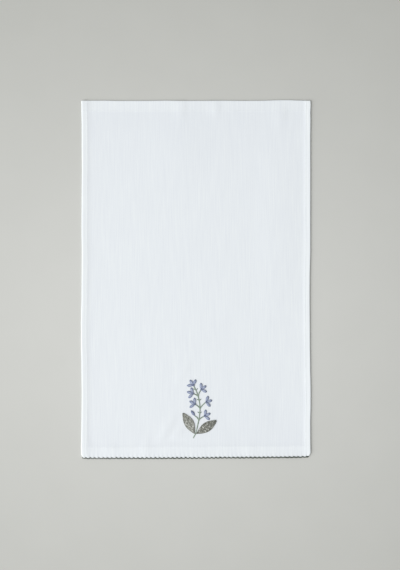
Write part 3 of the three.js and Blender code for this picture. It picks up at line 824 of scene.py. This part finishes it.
# a blade's tone inside, how much darker its sides are, and how much darker its tip and its root are, with the
# shares of its length between which that sets in or ends
petal = {
    "length": 14.4,
    "width": 5.4,
    "widestAt": 0.62,
    "fullness": 0.9,
    "rim": 0.25,
    "crown": 0.8,
    "stitches": 6,
    "fan": (40, -15, -76),  # the petals turn this far from the floret's direction,
    "root": 1.4,            # and their roots lie this far before the point where they cross
    "gap": 0.6,             # a bloom starts this far after its branch
    "tone": 0.78,
    "sideDark": 0.4,
    "tipDark": (0.55, 0.68, 1),
    "rootDark": (0.45, 0.1, 0.42),
    "underlay": 0.35,
    "seed": 40,
}
bud = {
    "length": 13.6,
    "width": 5.2,
    "widestAt": 0.52,
    "fullness": 0.9,
    "rim": 0.25,
    "crown": 0.9,
    "stitches": 6,
    "tone": 0.5,
    "sideDark": 0.3,
    "tipDark": (0.35, 0.6, 0.95),
    "rootDark": (0.4, 0.05, 0.4),
    "underlay": 0.3,
    "seed": 40,
}
# the stitches over a floret's heart
heart = {
    "aside": (-1.1, 0, 1.1),
    "shade": (0.2, 0.3, 0.15),
    "length": 4.6,
    "thread": 1.2,
    "tall": 0.8,
    "lie": 0.75,   # above the cloth,
    "arch": 0.35,  # this much higher in the middle,
    "dive": 0.9,   # and this much lower at the ends
    "steps": 7,
}


def makeFloret(number, branch):
    # three satin petals fanned about the floret's direction, and a few darker stitches over their roots
    rng = np.random.default_rng(petal["seed"] + number)
    side = branch[1]
    _, angle, end, bloom = branchAt(*branch)
    middle = end + (petal["gap"] + petal["root"]) * heading(angle)
    parts = []
    for fan in petal["fan"]:
        turn = bloom + side * fan
        root = middle - petal["root"] * heading(turn)
        parts.append(padding(root, turn, petal, petal["underlay"]))
        parts.append(satinStitches(root, turn, petal, rng))
    core = np.stack([end + heading(bloom + 90) * aside for aside in heart["aside"]])
    t = np.linspace(0, 1, heart["steps"])
    plan = core[:, None] + (heart["length"] * t)[:, None] * heading(bloom)
    ends = np.abs(2 * t - 1)
    z = clothTop + heart["lie"] + heart["arch"] * (1 - ends ** 2) - heart["dive"] * ends ** 8
    paths = np.concatenate([plan, np.broadcast_to(z[:, None], (*plan.shape[:2], 1))], -1)
    parts.append(threadTubes(paths, heart["thread"], heart["tall"], np.array(heart["shade"])))
    return threadPiece(f"floret_{number}_satin", parts, petalThread, f"sprig_floret_{number}")


def makeBud(branch):
    # one closed blade in satin stitch
    rng = np.random.default_rng(bud["seed"])
    _, angle, end, bloom = branchAt(*branch)
    root = end + petal["gap"] * heading(angle)
    parts = [padding(root, bloom, bud, bud["underlay"]), satinStitches(root, bloom, bud, rng)]
    return threadPiece("bud_satin", parts, petalThread, "sprig_bud")


leaf = {
    "length": 46.0,
    "width": 18.0,
    "widestAt": 0.5,
    "fullness": 1.0,
    "rim": 0.25,
    "crown": 0.9,
    "rootDrop": 0.3,      # its root lies this far below the point where the leaves meet
    "veins": 21,
    "veinFirst": 0.02,    # in shares of the length: where the first vein starts,
    "veinSpread": 0.9,    # and over how much of the midrib the others follow
    "veinReach": 0.24,    # a vein runs on by this share of the way that is left to the tip,
    "veinTo": 0.93,       # and ends at this share of the half width
    "veinStitches": 3,
    "shortest": 0.1,      # a stitch shorter than this share of its vein is left out
    "thread": 1.35,
    "tall": 0.7,
    "lie": 0.2,           # a stitch lies this far above the underlay,
    "lieUneven": 0.05,    # by this much more or less,
    "dive": 0.5,          # and its ends go down by this much
    "tone": 0.4,
    "rootTone": 0.15,     # it is this much lighter at the root
    "patch": 6.5,         # the tone changes in patches about this wide:
    "patchWaves": 5,      # so many waves in chance directions,
    "patchUneven": (0.8, 1.4),  # each with between these many crests to that width,
    "patchTone": 0.11,    # and this strong
    "toneUneven": 0.2,
    "underlay": 0.3,
    "edge": 1.1,          # thread of the edge line,
    "edgeAt": 0.97,       # which runs at this share of the half width
    "edgeShade": 0.15,
    "rib": 1.0,           # thread of the midrib,
    "ribTo": 0.93,        # which ends at this share of the length
    "ribShade": 0.25,
    "line": {"length": 4.6, "advance": 2.4, "slant": 0.4, "tall": 0.75},  # the stitches of both
    "lineFoot": 0.4,      # both start this far to the side of the stem
    "lineSteps": 40,
    "seed": 60,
}
# name, side, rise from level, how far the root lies beside the stem's foot, bow of the middle towards the
# lower edge, how much lighter its thread is, and how strongly its tone changes
leaves = [("leaf_left", -1, 60.5, 2.7, -0.8, 0.19, 1.1), ("leaf_right", 1, 33.5, 2.2, 0.2, -0.06, 1.8)]


def makeLeaf(name, side, rise, aside, bow, lighter, mottle):
    # rows of short stitches slope from the midrib to the edge like veins; their tone changes in patches a
    # few stitches wide, and is lighter towards the root. A darker line of stem stitch runs up the midrib and
    # round the edge, and starts at the stem's foot
    rng = np.random.default_rng(leaf["seed"] + int(rise))
    angle = rise if side > 0 else 180 - rise
    low = stem["y"] - leaf["rootDrop"]
    root = np.array([stem["x"] + side * aside, low])
    bow = -side * bow
    count = leaf["veinStitches"]
    t = np.linspace(0, 1, 6)
    half, vein, place = np.meshgrid([-1, 1], np.arange(leaf["veins"]), np.arange(count + 1), indexing="ij")
    shift = 0.5 * (vein % 2)  # every second row starts with half a stitch
    fromShare = np.clip((place - shift) / count, 0, 1)
    toShare = np.clip((place + 1 - shift) / count, 0, 1)
    real = (toShare - fromShare) > leaf["shortest"]
    half, vein, fromShare, toShare = (grid[real][:, None] for grid in (half, vein, fromShare, toShare))
    q = fromShare + (toShare - fromShare) * t
    first = leaf["veinFirst"] + leaf["veinSpread"] * vein / leaf["veins"]
    a = first + leaf["veinReach"] * (1 - first) * q
    paths, _ = bladeAt(root, angle, leaf, a, half * q * leaf["veinTo"], bow)
    lie = leaf["lie"] + rng.uniform(-leaf["lieUneven"], leaf["lieUneven"], (len(paths), 1))
    paths[..., 2] += lie - leaf["dive"] * np.abs(2 * t - 1) ** 6
    middle = len(t) // 2
    patch = np.zeros(len(paths))
    for turn in rng.uniform(0, 180, leaf["patchWaves"]):
        across = paths[:, middle, :2] @ heading(turn) / leaf["patch"]
        patch += np.cos(2 * np.pi * (across * rng.uniform(*leaf["patchUneven"]) + rng.uniform()))
    uneven = leaf["patchTone"] * patch + rng.uniform(-leaf["toneUneven"], leaf["toneUneven"], len(paths))
    tone = leaf["tone"] + lighter + mottle * uneven + leaf["rootTone"] * (1 - a[:, middle])
    fill = threadTubes(paths, leaf["thread"], leaf["tall"], np.clip(tone, 0, 1))
    parts = [padding(root, angle, leaf, leaf["underlay"] + lighter, bow), fill]
    foot = np.array([[stem["x"] + leaf["lineFoot"] * side, low, clothTop + leaf["rim"]]])

    def addLine(end, across, shade, thread):
        # from the foot up the blade, at one share across it
        a = np.linspace(0.0, end, leaf["lineSteps"])
        path, _ = bladeAt(root, angle, leaf, a, np.full_like(a, across), bow)
        size = {**leaf["line"], "width": thread, "rng": rng}
        parts.append(ropeStitches(np.vstack([foot, path]), shade + lighter, **size))

    for across in (-leaf["edgeAt"], leaf["edgeAt"]):
        addLine(1.0, across, leaf["edgeShade"], leaf["edge"])
    addLine(leaf["ribTo"], 0.0, leaf["ribShade"], leaf["rib"])
    return threadPiece(f"{name}_fill", parts, leafThread, f"sprig_{name}")


sprig = [makeStem(), makeBud(branches[0])]
sprig += [makeLeaf(*row) for row in leaves]
sprig += [makeFloret(number, branch) for number, branch in enumerate(branches[1:], 1)]


# Floor, light and camera

studio = {
    "floorDrop": 0.4,     # the floor lies this far under the cloth
    "floorHalf": 15000.0,
    "floorTones": [(0.35, "#b9bab5"), (0.9, "#d0d1cd")],
    "floorPatch": 90.0,   # size of the faint cloudiness of its tone
    "floorCloud": 0.1,    # and its strength
    "paintedLightPool": (-73.0, -76.0),     # a painted pool of light: the floor is palest at this x and y, and falls off over these distances
    "paintedPoolReach": (1350.0, 1090.0),   # and falls off over these distances
    "keyFrom": (-0.77, -0.4, 0.5),   # a very broad soft light stands low, at the lower left
    "keyAway": 12000.0,
    "keySize": 12000.0,
    "keyWatts": 1905.0,
    "sky": 0.455,
    "skyTone": "#ffffff",
    "cameraHeight": 2200.0,
    "pixelSize": 1.9547,  # of the cloth, in the photograph
    "centreShift": (8.0, -11.07),  # the frame's centre, seen from the towel's
    "frameHeight": 570,   # pixels
    "sensor": 36.0,
}


def makeFloor():
    # a plain pale floor, matt, faintly cloudy, with a painted pool of light that makes it a little paler
    # towards the lower left
    half = studio["floorHalf"]
    points = np.array([[-half, -half, 0], [half, -half, 0], [half, half, 0], [-half, half, 0]])
    points[:, 2] = -studio["floorDrop"]
    material, tree, shader = newMaterial("matt_plaster", {"Roughness": 0.9, "Specular IOR Level": 0.2})
    place = addNode(tree, "ShaderNodeTexCoord").outputs["Object"]
    cloud = addNode(tree, "ShaderNodeTexNoise", {"Scale": 1 / (studio["floorPatch"] * mm), "Detail": 4.0},
                    {"Vector": place})
    # painted light: a round pool in the floor's tone, palest at its middle, stands in for the light's falloff
    (x, y), (wide, long) = studio["paintedLightPool"], studio["paintedPoolReach"]
    shares = {"Location": (-x / wide, -y / long, 0), "Scale": (1 / (wide * mm), 1 / (long * mm), 1)}
    fromPool = addNode(tree, "ShaderNodeMapping", shares, {"Vector": place})
    pool = addNode(tree, "ShaderNodeTexGradient", {"gradient_type": "SPHERICAL"},
                   {"Vector": fromPool.outputs["Vector"]})
    paleness = addNode(tree, "ShaderNodeMath", {"operation": "MULTIPLY_ADD", 1: studio["floorCloud"]},
                       {0: cloud.outputs["Fac"], 2: pool.outputs["Fac"]})
    tone = addNode(tree, "ShaderNodeValToRGB", {"ramp": studio["floorTones"]}, {"Fac": paleness.outputs[0]})
    tree.links.new(tone.outputs["Color"], shader.inputs["Base Color"])
    floor = buildPiece("floor", points, np.array([[0, 1, 2, 3]]), material, {})


def makeLight():
    # one large soft light and an even pale sky
    key = bpy.data.lights.new("soft_key", "AREA")
    key.shape = "DISK"
    key.size = studio["keySize"] * mm
    key.energy = studio["keyWatts"]
    lamp = bpy.data.objects.new("soft_key", key)
    towards = Vector(studio["keyFrom"]).normalized()
    lamp.location = towards * studio["keyAway"] * mm
    lamp.rotation_euler = towards.to_track_quat("Z", "Y").to_euler()
    scene.collection.objects.link(lamp)
    world = bpy.data.worlds.new("studio")
    world.use_nodes = True
    background = world.node_tree.nodes["Background"]
    background.inputs["Color"].default_value = linear(studio["skyTone"])
    background.inputs["Strength"].default_value = studio["sky"]
    scene.world = world
    scene.view_settings.view_transform = "Standard"


def makeCamera():
    # straight above the towel, at the photograph's framing; the sensor's width is the frame's long side
    camera = bpy.data.cameras.new("camera")
    camera.sensor_width = studio["sensor"]
    seen = studio["frameHeight"] * studio["pixelSize"]
    camera.lens = studio["sensor"] * (studio["cameraHeight"] - towel["thickness"]) / seen
    view = bpy.data.objects.new("camera", camera)
    view.location = Vector((*studio["centreShift"], studio["cameraHeight"])) * mm
    scene.collection.objects.link(view)
    scene.camera = view


makeFloor()
makeLight()
makeCamera()
print("studio: floor, light and camera")
